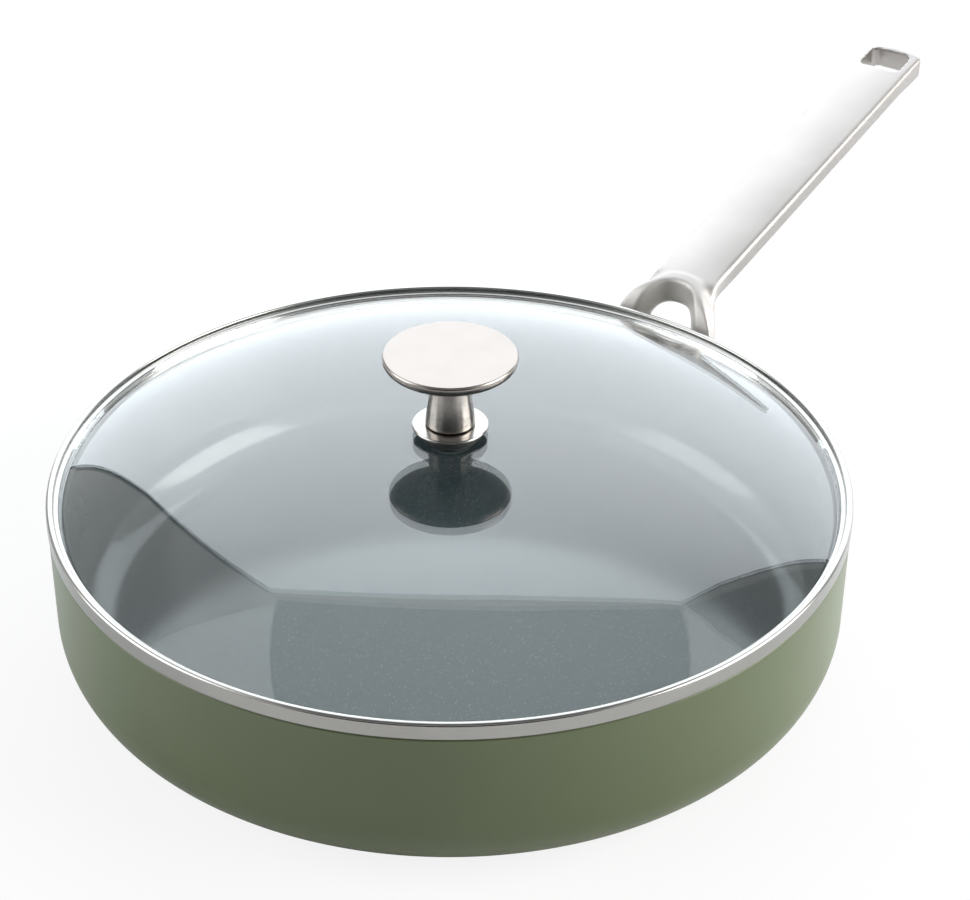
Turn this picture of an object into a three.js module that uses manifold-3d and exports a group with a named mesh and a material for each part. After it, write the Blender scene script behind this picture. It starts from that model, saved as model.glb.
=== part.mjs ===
// Saute pan with a glass lid: a pressed aluminium pan with a ceramic lining, a forked steel handle,
// and a domed glass lid with a steel rim band and a steel mushroom knob.
// Millimetres, +Z up. The origin is the middle of the underside, and the handle points along +X.
import * as THREE from 'three';
import { mergeVertices } from 'three/addons/utils/BufferGeometryUtils.js';
import Module from 'manifold-3d';

const wasm = await Module();
wasm.setup();

// Clearance between pieces that touch on the real pan
const seatGap = 0.3;

// Pan
const panInsideDiameter = 280;
const panHeight = 61;
const wallThickness = 3.2;
const liningThickness = 0.6;
const liningBelowRim = 0.5;
const floorThickness = 4.6;
const wallDraft = THREE.MathUtils.degToRad(0.6);
const cornerRadius = 23;
const rimEase = 0.7;

// Steel disc in the underside, for induction hobs
const plateRadius = 100;
const plateThickness = 1.4;
const plateProud = 0.4;
const plateEase = 0.3;

// Handle: the top of the grip is a straight line in side view that rises towards the tip
const tipRadius = 337.5;
const tipHeight = 115.1;
const gripRise = THREE.MathUtils.degToRad(12);
const gripWidth = 26.8;
const gripThickness = 10.5;
const gripCrown = 1.7;
const gripTopEase = 2.6;
const gripBottomEase = 4;
const tipCornerRadius = 3;
const tipBow = 0.5;
const hangingHoleLength = 13.8;
const hangingHoleWidth = 18.4;
const hangingHoleCorner = 3.2;
const hangingHoleFromTip = 10.4;

// Fork of the handle: two legs that spread, bend down behind the rim and end in round feet
const forkLength = 18.5;
const forkSpread = 45;
const archDepth = 14.6;
const archMouth = 27.6;
const legStandOff = 3;
const legThickness = 8.5;
const bendLength = 17;
const legSlope = 0.72;
const footHeight = 42;
const footRadius = 9;
const footThickness = 5.5;

// Rivets, one through each foot
const rivetShankRadius = 3;
const rivetInnerHeadRadius = 6;
const rivetOuterHeadRadius = 4.6;
const rivetHeadThickness = 1.4;
const rivetAngle = THREE.MathUtils.degToRad(8.6);

// Lid
const bandOverhang = 0.3;
const bandSheet = 0.7;
const bandLip = 3.5;
const bandEase = 1.2;
const skirtDepth = 3.8;
const skirtClearance = 0.7;
const glassThickness = 4;
const glassRise = 20.3;
const glassCrownRadius = 740;
const glassLipWidth = 6.5;
const glassHoleRadius = 5.5;

// Knob
const knobHeight = 29.1;
const knobDiscRadius = 23.5;
const knobDiscBulge = 0.35;
const knobDiscThickness = 5.6;
const stemBottomRadius = 8.9;
const stemTopRadius = 5;
const stemBulge = 0.5;
const flangeRadius = 13.55;
const flangeThickness = 1.1;
const gasketThickness = 1.4;
const gasketInset = 1.1;
const spigotRadius = 3.7;
const spigotLength = 9;
const screwRadius = 2;
const screwHeadRadius = 4;
const screwHeadHeight = 2.6;
const sealWasherRadius = 9.5;
const sealWasherThickness = 1.5;
const steelWasherRadius = 8;
const steelWasherThickness = 1.2;

// Facets around the pan and the lid, and around the small turned pieces
const panSegments = 56;
const knobSegments = 28;

const paint = { color: 0x66734f, roughness: 0.45, metalness: 0.1 };
const ceramic = { color: 0x76828a, roughness: 0.4, metalness: 0 };
const brushedSteel = { color: 0xc9c6bf, roughness: 0.32, metalness: 1 };
const plateSteel = { color: 0xb4b4b2, roughness: 0.45, metalness: 1 };
const tintedGlass = { color: 0xdfe8e6, roughness: 0.03, metalness: 0, transparent: true, opacity: 0.3 };
const silicone = { color: 0x26282a, roughness: 0.7, metalness: 0 };

// A closed geometry with one vertex per corner, turned so that its faces point out
function closedGeometry(geometry) {
  geometry.deleteAttribute('normal');
  geometry.deleteAttribute('uv');
  const merged = mergeVertices(geometry, 1e-4);
  const position = merged.getAttribute('position');
  const corners = merged.getIndex().array;
  const a = new THREE.Vector3();
  const b = new THREE.Vector3();
  const c = new THREE.Vector3();
  const kept = [];
  let volume = 0;
  for (let i = 0; i < corners.length; i += 3) {
    const [p, q, r] = [corners[i], corners[i + 1], corners[i + 2]];
    if (p === q || q === r || r === p) continue;
    kept.push(p, q, r);
    a.fromBufferAttribute(position, p);
    b.fromBufferAttribute(position, q);
    c.fromBufferAttribute(position, r);
    volume += a.dot(b.cross(c));
  }
  if (volume < 0) {
    for (let i = 0; i < kept.length; i += 3) {
      [kept[i + 1], kept[i + 2]] = [kept[i + 2], kept[i + 1]];
    }
  }
  merged.setIndex(kept);
  return merged;
}

function solid(geometry) {
  const closed = closedGeometry(geometry);
  const vertProperties = Float32Array.from(closed.getAttribute('position').array);
  const triVerts = Uint32Array.from(closed.getIndex().array);
  return new wasm.Manifold(new wasm.Mesh({ numProp: 3, vertProperties, triVerts }));
}

function geometryOf(manifold) {
  const cut = manifold.getMesh();
  const geometry = new THREE.BufferGeometry();
  geometry.setAttribute('position', new THREE.BufferAttribute(cut.vertProperties, 3));
  geometry.setIndex(new THREE.BufferAttribute(cut.triVerts, 1));
  geometry.computeVertexNormals();
  return geometry;
}

function piece(name, manifold, look) {
  const mesh = new THREE.Mesh(geometryOf(manifold), new THREE.MeshStandardMaterial(look));
  mesh.name = name;
  return mesh;
}

// Turned solid around Z from a profile of [radius, height] points
function turned(profile, segments) {
  const points = profile.map(([radius, height]) => new THREE.Vector2(radius, height));
  const geometry = new THREE.LatheGeometry(points, segments);
  geometry.rotateX(Math.PI / 2);
  return solid(geometry);
}

function ring(profile, segments) {
  return turned([...profile, profile[0]], segments);
}

// Pan: every surface is the same cup shape at its own radius, floor height and corner radius
const insideRadius = panInsideDiameter / 2;
const outsideRadius = insideRadius + wallThickness;
const liningBack = insideRadius + liningThickness;
const bodyInside = liningBack + seatGap;
const bodyFloor = plateProud + floorThickness - liningThickness - seatGap;

function cup(rimRadius, floorHeight, radius, topHeight) {
  const centreHeight = floorHeight + radius;
  const tangentHeight = centreHeight - radius * Math.sin(wallDraft);
  const tangentRadius = rimRadius - (panHeight - tangentHeight) * Math.tan(wallDraft);
  const centreRadius = tangentRadius - radius * Math.cos(wallDraft);
  const steps = 6;
  const points = [[0, floorHeight]];
  for (let i = 0; i <= steps; i += 1) {
    const angle = -Math.PI / 2 + (i / steps) * (Math.PI / 2 - wallDraft);
    points.push([centreRadius + radius * Math.cos(angle), centreHeight + radius * Math.sin(angle)]);
  }
  points.push([rimRadius - (panHeight - topHeight) * Math.tan(wallDraft), topHeight]);
  return points;
}

function rivetBar(side, from, to, radius) {
  const bar = new THREE.CylinderGeometry(radius, radius, to - from, knobSegments);
  bar.rotateZ(-Math.PI / 2);
  bar.translate((from + to) / 2, 0, footHeight);
  bar.rotateZ(side * rivetAngle);
  return solid(bar);
}

const sides = [1, -1];

function drilledForRivets(manifold) {
  const drill = (body, side) => body.subtract(
    rivetBar(side, insideRadius / 2, tipRadius / 2, rivetShankRadius + seatGap),
  );
  return sides.reduce(drill, manifold);
}

function panBody() {
  const outside = cup(outsideRadius, plateProud, cornerRadius, panHeight - rimEase);
  const inside = cup(bodyInside, bodyFloor, cornerRadius - (outsideRadius - bodyInside), panHeight);
  const recessRadius = plateRadius + seatGap;
  const recessTop = plateThickness + seatGap;
  const profile = [
    [0, recessTop],
    [recessRadius, recessTop],
    [recessRadius, plateProud],
    ...outside.slice(1),
    [outsideRadius - rimEase, panHeight],
    ...inside.reverse(),
  ];
  return piece('pan_body', drilledForRivets(turned(profile, panSegments)), paint);
}

function ceramicLining() {
  const top = panHeight - liningBelowRim;
  const backCorner = cornerRadius - (outsideRadius - liningBack);
  const back = cup(liningBack, bodyFloor + seatGap, backCorner, top);
  const frontFloor = bodyFloor + seatGap + liningThickness;
  const front = cup(insideRadius, frontFloor, cornerRadius - wallThickness, top);
  const profile = [...back, ...front.reverse()];
  return piece('ceramic_lining', drilledForRivets(turned(profile, panSegments)), ceramic);
}

function basePlate() {
  const profile = [
    [0, 0],
    [plateRadius - plateEase, 0],
    [plateRadius, plateEase],
    [plateRadius, plateThickness],
    [0, plateThickness],
  ];
  return piece('induction_base_plate', turned(profile, panSegments), plateSteel);
}

// Lid levels: the steel band rests on the rim and holds the edge of the glass in a channel
const bandRadius = outsideRadius + bandOverhang;
const bandBottom = panHeight + seatGap;
const glassLipBottom = bandBottom + bandSheet + seatGap;
const glassLipTop = glassLipBottom + glassThickness;
const bandTop = glassLipTop + seatGap + bandSheet;
const glassEdge = bandRadius - bandSheet - seatGap;
const glassFoot = glassEdge - glassLipWidth;
const glassTop = glassLipTop + glassRise;

// Handle
const legFront = bandRadius + legStandOff;
const forkStart = bandRadius + forkLength;
const archTop = bandRadius + archDepth;
const rivetSeat = outsideRadius + footThickness;
const gripHalf = gripWidth / 2;
const gripDrop = gripThickness / Math.cos(gripRise);
const topAt = (radius) => tipHeight - (tipRadius - radius) * Math.tan(gripRise);

// Side view of the whole handle, stretched across its width
function handleSideView(halfWidth) {
  const bendStart = legFront + bendLength;
  const legTop = bandTop - 1.5;
  const footTop = footHeight + footRadius + 2;
  const legBack = legFront + legThickness;
  const underStart = archTop + 1;
  const shape = new THREE.Shape();
  shape.moveTo(tipRadius + 1, topAt(tipRadius + 1));
  shape.lineTo(bendStart, topAt(bendStart));
  shape.quadraticCurveTo(legFront + 5.5, topAt(legFront + 5.5), legFront, legTop);
  shape.quadraticCurveTo(legFront - 1.5, footTop + 4, outsideRadius - 2, footTop);
  shape.lineTo(outsideRadius - 2, footHeight);
  shape.lineTo(rivetSeat + 0.5, footHeight);
  shape.quadraticCurveTo(legBack - 3.5, footTop - 2, legBack - 1, footTop + 6);
  shape.quadraticCurveTo(legBack, topAt(legBack) - gripDrop, underStart, topAt(underStart) - gripDrop);
  shape.lineTo(tipRadius + 6, topAt(tipRadius + 6) - gripDrop);
  shape.closePath();
  const sheet = new THREE.ExtrudeGeometry(shape, { depth: 2 * halfWidth, bevelEnabled: false, curveSegments: 6 });
  sheet.rotateX(Math.PI / 2);
  sheet.translate(0, halfWidth, 0);
  return solid(sheet);
}

// Plan view: a straight grip with a bowed end, and a fork whose legs spread around an open arch
function handlePlanView() {
  const spread = forkSpread / 2;
  const mouth = archMouth / 2;
  const reach = outsideRadius - 6;
  const half = (sign) => {
    const edge = new THREE.Path();
    edge.moveTo(reach, sign * (spread + (legFront - reach) * legSlope));
    edge.lineTo(legFront, sign * spread);
    edge.bezierCurveTo(
      legFront + 6, sign * (spread - 6 * legSlope), forkStart - 7, sign * gripHalf, forkStart, sign * gripHalf,
    );
    edge.lineTo(tipRadius - tipBow - tipCornerRadius, sign * gripHalf);
    edge.quadraticCurveTo(
      tipRadius - tipBow, sign * gripHalf, tipRadius - tipBow * 0.7, sign * (gripHalf - tipCornerRadius),
    );
    edge.quadraticCurveTo(tipRadius, sign * gripHalf * 0.3, tipRadius, 0);
    return edge.getPoints(7);
  };
  const archHalf = (sign) => {
    const edge = new THREE.Path();
    edge.moveTo(archTop, 0);
    edge.bezierCurveTo(
      archTop, sign * mouth * 0.5, legFront + 8, sign * (mouth - 8 * legSlope), legFront, sign * mouth,
    );
    edge.lineTo(reach, sign * (mouth + (legFront - reach) * legSlope));
    return edge.getPoints(7);
  };
  const outline = [
    ...half(1),
    ...half(-1).reverse().slice(1),
    ...archHalf(-1).reverse(),
    ...archHalf(1).slice(1),
  ];
  const shape = new THREE.Shape(outline);
  const depth = tipHeight + knobHeight;
  return solid(new THREE.ExtrudeGeometry(shape, { depth, bevelEnabled: false }));
}

// Places a section drawn across the grip (Y across, Z up from the top line) along the grip
function alongGrip(shape, fromRadius, toRadius) {
  const depth = (toRadius - fromRadius) / Math.cos(gripRise);
  const bar = new THREE.ExtrudeGeometry(shape, { depth, bevelEnabled: false, curveSegments: 6 });
  const across = new THREE.Vector3(0, 1, 0);
  const along = new THREE.Vector3(Math.cos(gripRise), 0, Math.sin(gripRise));
  const upward = new THREE.Vector3().crossVectors(along, across);
  const place = new THREE.Matrix4().makeBasis(across, upward, along);
  place.setPosition(fromRadius, 0, topAt(fromRadius));
  bar.applyMatrix4(place);
  return solid(bar);
}

function gripSection() {
  const edge = gripHalf - gripTopEase;
  const shape = new THREE.Shape();
  shape.moveTo(-gripHalf, -gripCrown - gripTopEase);
  shape.quadraticCurveTo(-gripHalf, -gripCrown, -edge, -gripCrown);
  shape.quadraticCurveTo(0, gripCrown, edge, -gripCrown);
  shape.quadraticCurveTo(gripHalf, -gripCrown, gripHalf, -gripCrown - gripTopEase);
  shape.lineTo(gripHalf, gripBottomEase - gripThickness);
  shape.quadraticCurveTo(gripHalf, -gripThickness, gripHalf - gripBottomEase, -gripThickness);
  shape.lineTo(gripBottomEase - gripHalf, -gripThickness);
  shape.quadraticCurveTo(-gripHalf, -gripThickness, -gripHalf, gripBottomEase - gripThickness);
  shape.closePath();
  return shape;
}

// The fork keeps the crown of the grip on its top only
function forkSection() {
  const edge = gripHalf - gripTopEase;
  const reach = forkSpread;
  const shape = new THREE.Shape();
  shape.moveTo(-reach, -gripCrown - (reach - edge) * 0.3);
  shape.lineTo(-edge, -gripCrown);
  shape.quadraticCurveTo(0, gripCrown, edge, -gripCrown);
  shape.lineTo(reach, -gripCrown - (reach - edge) * 0.3);
  shape.lineTo(reach, -tipHeight);
  shape.lineTo(-reach, -tipHeight);
  shape.closePath();
  return shape;
}

function hangingHole() {
  const halfLength = hangingHoleLength / 2;
  const halfWidth = hangingHoleWidth / 2;
  const corner = hangingHoleCorner;
  const shape = new THREE.Shape();
  shape.moveTo(-halfLength + corner, -halfWidth);
  shape.lineTo(halfLength - corner, -halfWidth);
  shape.absarc(halfLength - corner, -halfWidth + corner, corner, -Math.PI / 2, 0);
  shape.absarc(halfLength - corner, halfWidth - corner, corner, 0, Math.PI / 2);
  shape.absarc(-halfLength + corner, halfWidth - corner, corner, Math.PI / 2, Math.PI);
  shape.absarc(-halfLength + corner, -halfWidth + corner, corner, Math.PI, 1.5 * Math.PI);
  const depth = 3 * gripThickness;
  const punch = new THREE.ExtrudeGeometry(shape, { depth, bevelEnabled: false, curveSegments: 5 });
  punch.translate(0, 0, -2 * gripThickness);
  punch.rotateY(-gripRise);
  const radius = tipRadius - hangingHoleFromTip * Math.cos(gripRise);
  punch.translate(radius, 0, topAt(radius));
  return solid(punch);
}

function handle() {
  const envelope = alongGrip(gripSection(), forkStart - 5, tipRadius + 4)
    .add(alongGrip(forkSection(), insideRadius / 2, forkStart - 3));
  let body = handleSideView(forkSpread).intersect(handlePlanView()).intersect(envelope);
  for (const side of sides) {
    body = body.add(rivetBar(side, insideRadius, rivetSeat + 1.4, footRadius));
  }
  const wallClear = cup(outsideRadius + seatGap, plateProud - seatGap, cornerRadius + seatGap, panHeight + 1);
  body = body.subtract(turned([...wallClear, [0, panHeight + 1]], panSegments));
  body = body.subtract(hangingHole());
  for (const side of sides) {
    body = body.subtract(rivetBar(side, rivetSeat, tipRadius / 2, rivetOuterHeadRadius + seatGap));
  }
  return piece('handle', drilledForRivets(body), brushedSteel);
}

// Rivet: a flat head inside the pan, a shank through lining, wall and foot, and a head in the foot
function handleRivet(name, side) {
  const wallAtRivet = insideRadius - (panHeight - footHeight) * Math.tan(wallDraft);
  const wallCurve = rivetInnerHeadRadius ** 2 / (2 * insideRadius);
  const innerSeat = wallAtRivet - wallCurve - seatGap;
  const outerSeat = rivetSeat + seatGap;
  const profile = [
    [0, innerSeat - rivetHeadThickness],
    [rivetInnerHeadRadius - 1, innerSeat - rivetHeadThickness],
    [rivetInnerHeadRadius, innerSeat - 0.5 * rivetHeadThickness],
    [rivetInnerHeadRadius, innerSeat],
    [rivetShankRadius, innerSeat],
    [rivetShankRadius, outerSeat],
    [rivetOuterHeadRadius, outerSeat],
    [rivetOuterHeadRadius - 0.6, outerSeat + rivetHeadThickness],
    [0, outerSeat + rivetHeadThickness],
  ];
  const rivet = piece(name, turned(profile, knobSegments), brushedSteel);
  rivet.rotation.y = Math.PI / 2;
  const place = new THREE.Group();
  place.rotation.z = side * rivetAngle;
  place.position.z = footHeight;
  place.add(rivet);
  return place;
}

// Dome: a wide sphere in the middle that turns down more and more towards its foot
const footDrop = glassRise - glassFoot ** 2 / (2 * glassCrownRadius);
const domeHeight = (radius) => (
  glassTop - radius ** 2 / (2 * glassCrownRadius) - footDrop * (radius / glassFoot) ** 6
);
const domeSlope = (radius) => (
  radius / glassCrownRadius + (6 * footDrop / glassFoot) * (radius / glassFoot) ** 5
);

function lidGlass() {
  const stations = [0.2, 0.4, 0.56, 0.7, 0.8, 0.88, 0.94, 0.98].map((part) => part * glassFoot);
  const top = [glassHoleRadius, ...stations].map((radius) => [radius, domeHeight(radius)]);
  const under = [glassHoleRadius, ...stations].map((radius) => (
    [radius, domeHeight(radius) - glassThickness * Math.hypot(1, domeSlope(radius))]
  ));
  const profile = [
    ...under,
    [glassFoot, glassLipBottom],
    [glassEdge, glassLipBottom],
    [glassEdge, glassLipTop],
    [glassFoot + 1.6, glassLipTop],
    [glassFoot + 0.4, glassLipTop + 0.35],
    ...top.reverse(),
  ];
  return piece('lid_glass', ring(profile, panSegments), tintedGlass);
}

function lidRimBand() {
  const channelWall = bandRadius - bandSheet;
  const lipEdge = bandRadius - bandLip;
  const skirtOutside = insideRadius - skirtClearance;
  const skirtInside = skirtOutside - bandSheet;
  const skirtBottom = bandBottom - skirtDepth;
  const profile = [
    [skirtInside, skirtBottom],
    [skirtOutside, skirtBottom],
    [skirtOutside, bandBottom],
    [bandRadius - 0.5, bandBottom],
    [bandRadius, bandBottom + 0.5],
    [bandRadius, bandTop - bandEase],
    [bandRadius - 0.3 * bandEase, bandTop - 0.35 * bandEase],
    [bandRadius - bandEase, bandTop],
    [bandRadius - 0.6 * bandLip, bandTop],
    [lipEdge, bandTop - 0.5 * bandSheet],
    [lipEdge, bandTop - bandSheet],
    [channelWall, bandTop - bandSheet],
    [channelWall, bandBottom + bandSheet],
    [skirtInside, bandBottom + bandSheet],
  ];
  return piece('lid_rim_band', ring(profile, panSegments), brushedSteel);
}

// Knob, from the glass upwards
const gasketBottom = glassTop + seatGap;
const gasketTop = gasketBottom + gasketThickness;
const flangeBottom = gasketTop + seatGap;
const flangeTop = flangeBottom + flangeThickness;
const stemBottom = flangeTop + seatGap;
const knobTop = flangeBottom + knobHeight;
const discBottom = knobTop - knobDiscThickness;
const stemTop = discBottom - seatGap;
const screwBore = screwRadius + seatGap;

// The gasket's sleeve keeps the screw off the edge of the hole in the glass
function knobGasket() {
  const sleeveRadius = glassHoleRadius - seatGap;
  const sleeveBottom = glassTop - glassThickness + seatGap;
  const profile = [
    [screwBore, sleeveBottom],
    [sleeveRadius, sleeveBottom],
    [sleeveRadius, gasketBottom],
    [flangeRadius - gasketInset, gasketBottom],
    [flangeRadius - gasketInset, gasketTop],
    [screwBore, gasketTop],
  ];
  return piece('knob_gasket', ring(profile, knobSegments), silicone);
}

function knobBaseFlange() {
  const profile = [
    [screwBore, flangeBottom],
    [flangeRadius - 0.5, flangeBottom],
    [flangeRadius, flangeBottom + 0.4],
    [flangeRadius - 0.1, flangeTop - 0.3],
    [flangeRadius - 0.6, flangeTop],
    [screwBore, flangeTop],
  ];
  return piece('knob_base_flange', ring(profile, knobSegments), brushedSteel);
}

function knobStem() {
  const steps = 5;
  const taper = [];
  for (let i = 0; i <= steps; i += 1) {
    const part = i / steps;
    const straight = THREE.MathUtils.lerp(stemBottomRadius, stemTopRadius, part);
    const bulge = 4 * stemBulge * part * (1 - part);
    taper.push([straight + bulge, THREE.MathUtils.lerp(stemBottom + 0.6, stemTop, part)]);
  }
  const socketRadius = spigotRadius + seatGap;
  const socketBottom = discBottom - spigotLength - seatGap;
  const profile = [
    [screwBore, stemBottom],
    [stemBottomRadius - 0.5, stemBottom],
    ...taper,
    [socketRadius, stemTop],
    [socketRadius, socketBottom],
    [screwBore, socketBottom],
  ];
  return piece('knob_stem', ring(profile, knobSegments), brushedSteel);
}

// Disc with a threaded spigot that stands in the top of the stem and takes the screw
function knobDisc() {
  const bulge = knobDiscRadius + knobDiscBulge;
  const threadTop = discBottom + 0.3 * knobDiscThickness;
  const profile = [
    [0, threadTop],
    [screwBore, threadTop],
    [screwBore, discBottom - spigotLength],
    [spigotRadius, discBottom - spigotLength],
    [spigotRadius, discBottom],
    [0.8 * knobDiscRadius, discBottom + 0.1 * knobDiscThickness],
    [0.95 * knobDiscRadius, discBottom + 0.24 * knobDiscThickness],
    [bulge, discBottom + 0.52 * knobDiscThickness],
    [bulge, discBottom + 0.74 * knobDiscThickness],
    [knobDiscRadius, knobTop - 0.3],
    [knobDiscRadius - 0.5, knobTop],
    [0, knobTop],
  ];
  return piece('knob_disc', turned(profile, knobSegments), brushedSteel);
}

// Under the glass: soft washer, steel washer and the screw that clamps the whole knob
const sealTop = glassTop - glassThickness - seatGap;
const sealBottom = sealTop - sealWasherThickness;
const washerTop = sealBottom - seatGap;
const washerBottom = washerTop - steelWasherThickness;
const screwSeat = washerBottom - seatGap;

function flatRing(name, inner, outer, bottom, top, look) {
  const profile = [[inner, bottom], [outer, bottom], [outer, top], [inner, top]];
  return piece(name, ring(profile, knobSegments), look);
}

function knobScrew() {
  const tip = discBottom + 0.3 * knobDiscThickness - 2 * seatGap;
  const profile = [
    [0, screwSeat - screwHeadHeight],
    [0.7 * screwHeadRadius, screwSeat - screwHeadHeight],
    [screwHeadRadius, screwSeat - 0.5 * screwHeadHeight],
    [screwHeadRadius, screwSeat],
    [screwRadius, screwSeat],
    [screwRadius, tip - 0.6],
    [screwRadius - 0.6, tip],
    [0, tip],
  ];
  const slot = new THREE.BoxGeometry(2.2 * screwHeadRadius, 1, 1.2);
  slot.translate(0, 0, screwSeat - screwHeadHeight + 0.55);
  return piece('knob_screw', turned(profile, knobSegments).subtract(solid(slot)), brushedSteel);
}

const pan = new THREE.Group();
pan.name = 'pan';
pan.add(basePlate(), panBody(), ceramicLining(), handle());
pan.add(handleRivet('handle_rivet_left', 1), handleRivet('handle_rivet_right', -1));

const lid = new THREE.Group();
lid.name = 'lid';
lid.add(lidGlass(), lidRimBand());
lid.add(knobGasket(), knobBaseFlange(), knobStem(), knobDisc());
lid.add(flatRing('knob_seal_washer', screwBore, sealWasherRadius, sealBottom, sealTop, silicone));
lid.add(flatRing('knob_steel_washer', screwBore, steelWasherRadius, washerBottom, washerTop, plateSteel));
lid.add(knobScrew());

const group = new THREE.Group();
group.name = 'saute_pan_with_lid';
group.add(pan, lid);

export default group;
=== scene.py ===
import math

import bmesh
import bpy
import numpy as np
from mathutils import Matrix, Vector


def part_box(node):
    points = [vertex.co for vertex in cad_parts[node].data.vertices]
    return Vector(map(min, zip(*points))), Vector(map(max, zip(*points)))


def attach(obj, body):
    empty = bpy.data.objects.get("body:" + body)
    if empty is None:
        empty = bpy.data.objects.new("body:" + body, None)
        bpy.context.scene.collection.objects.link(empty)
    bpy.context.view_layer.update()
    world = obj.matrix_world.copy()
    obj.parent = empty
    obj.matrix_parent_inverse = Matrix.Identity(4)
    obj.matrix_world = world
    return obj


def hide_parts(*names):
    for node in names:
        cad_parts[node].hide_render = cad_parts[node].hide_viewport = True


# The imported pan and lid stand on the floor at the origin, in metres, with the handle along +X.
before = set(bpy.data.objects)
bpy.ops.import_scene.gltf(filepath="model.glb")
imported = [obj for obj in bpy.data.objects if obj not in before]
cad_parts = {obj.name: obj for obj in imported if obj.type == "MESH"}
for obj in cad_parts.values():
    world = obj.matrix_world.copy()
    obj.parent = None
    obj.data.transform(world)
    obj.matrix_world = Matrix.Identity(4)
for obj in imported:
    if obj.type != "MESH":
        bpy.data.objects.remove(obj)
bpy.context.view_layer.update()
mm = 0.001

# Pan body: one disc of aluminium pressed into a straight-sided cup with a wide corner radius.
# The outside is sprayed and baked in a satin sage green enamel. Two holes take the handle rivets,
# and a round recess in the underside takes the steel plate for induction hobs.
pan_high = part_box("pan_body")[1]
pan_radius = pan_high.x / mm
pan_height = pan_high.z / mm
wall_draft = math.radians(0.6)
pan_corner = 23.0
rivet_height = 42.0
rivet_spread = math.radians(8.6)
rivet_hole = 3.2


def cup(rim_radius, floor, corner, top, steps=20):
    """Side view of a cup from the middle of its floor to its rim, as (radius, height) in mm."""
    centre_height = floor + corner
    tangent_height = centre_height - corner * math.sin(wall_draft)
    tangent_radius = rim_radius - (pan_height - tangent_height) * math.tan(wall_draft)
    centre_radius = tangent_radius - corner * math.cos(wall_draft)
    points = [(0.0, floor), (0.5 * centre_radius, floor), (0.97 * centre_radius, floor)]
    for i in range(steps + 1):
        turn = -math.pi / 2 + i / steps * (math.pi / 2 - wall_draft)
        points.append((centre_radius + corner * math.cos(turn), centre_height + corner * math.sin(turn)))
    for part in (0.1, 0.5, 0.9, 1.0):
        height = tangent_height + part * (top - tangent_height)
        points.append((rim_radius - (pan_height - height) * math.tan(wall_draft), height))
    return points


def eased(corners, steps=5, closed=False):
    """A side view given as (radius, height, ease) corners in mm, with each corner rounded by its ease."""
    outline = []
    count = len(corners)
    for i, (radius, height, ease) in enumerate(corners):
        here = np.array((radius, height))
        if ease == 0 or (not closed and i in (0, count - 1)):
            outline.append((radius, height))
            continue
        before = np.array(corners[i - 1][:2]) - here
        after = np.array(corners[(i + 1) % count][:2]) - here
        before /= np.linalg.norm(before)
        after /= np.linalg.norm(after)
        half = 0.5 * math.acos(max(-1.0, min(1.0, float(before @ after))))
        middle = before + after
        centre = here + middle / np.linalg.norm(middle) * ease / math.sin(half)
        start = here + before * ease / math.tan(half) - centre
        stop = here + after * ease / math.tan(half) - centre
        sweep = math.pi - 2 * half
        for k in range(steps + 1):
            share = k / steps
            spoke = math.sin((1 - share) * sweep) * start + math.sin(share * sweep) * stop
            spoke /= math.sin(sweep)
            outline.append(tuple(centre + spoke))
    return outline


def turned(name, side_view, around=192):
    """A closed mesh turned about the upright axis from a side view in mm."""
    form = bmesh.new()
    rings = []
    for radius, height in side_view:
        count = 1 if radius < 1e-6 else around
        turns = [2 * math.pi * i / around for i in range(count)]
        wide = radius * mm
        rings.append([form.verts.new((wide * math.cos(t), wide * math.sin(t), height * mm)) for t in turns])
    pairs = list(zip(rings, rings[1:]))
    if side_view[0][0] > 1e-6:
        pairs.append((rings[-1], rings[0]))
    for lower, upper in pairs:
        for i in range(around):
            j = (i + 1) % around
            corners = [lower[i % len(lower)], lower[j % len(lower)]]
            corners += [upper[j % len(upper)], upper[i % len(upper)]]
            corners = list(dict.fromkeys(corners))
            if len(corners) > 2:
                form.faces.new(corners)
    bmesh.ops.recalc_face_normals(form, faces=form.faces)
    return laid_down(name, form)


def laid_down(name, form):
    """An object with its place in its mesh, smooth except at sharp edges."""
    mesh = bpy.data.meshes.new(name)
    form.to_mesh(mesh)
    form.free()
    mesh.shade_smooth()
    mesh.set_sharp_from_angle(angle=math.radians(40))
    piece = bpy.data.objects.new(name, mesh)
    bpy.context.scene.collection.objects.link(piece)
    return piece


def frozen(piece):
    """The piece with its modifiers made part of a plain mesh."""
    bpy.context.view_layer.update()
    ready = bpy.data.meshes.new_from_object(piece.evaluated_get(bpy.context.evaluated_depsgraph_get()))
    piece.modifiers.clear()
    piece.data = ready
    ready.name = piece.name
    return piece


def even_shading(piece):
    """Wide faces keep their own direction beside a narrow rounded edge."""
    piece.modifiers.new("even_shading", "WEIGHTED_NORMAL").keep_sharp = True
    return frozen(piece)


def drilled_for_rivets(piece):
    """The piece with the two rivet holes drilled through its wall."""
    drill = bmesh.new()
    for side in (1, -1):
        place = Matrix.Rotation(side * rivet_spread, 4, "Z")
        place = place @ Matrix.Translation((0.142, 0, rivet_height * mm))
        place = place @ Matrix.Rotation(math.pi / 2, 4, "Y")
        bmesh.ops.create_cone(
            drill, cap_ends=True, segments=32, radius1=rivet_hole * mm, radius2=rivet_hole * mm,
            depth=0.02, matrix=place)
    bit = laid_down("rivet_drill", drill)
    cut = piece.modifiers.new("rivet_holes", "BOOLEAN")
    cut.operation = "DIFFERENCE"
    cut.solver = "EXACT"
    cut.object = bit
    frozen(piece)
    bpy.data.objects.remove(bit)
    piece.data.shade_smooth()
    piece.data.set_sharp_from_angle(angle=math.radians(40))
    return even_shading(piece)


def new_finish(name):
    """A new material and its main shader."""
    finish = bpy.data.materials.new(name)
    finish.use_nodes = True
    return finish, finish.node_tree.nodes["Principled BSDF"]


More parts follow.
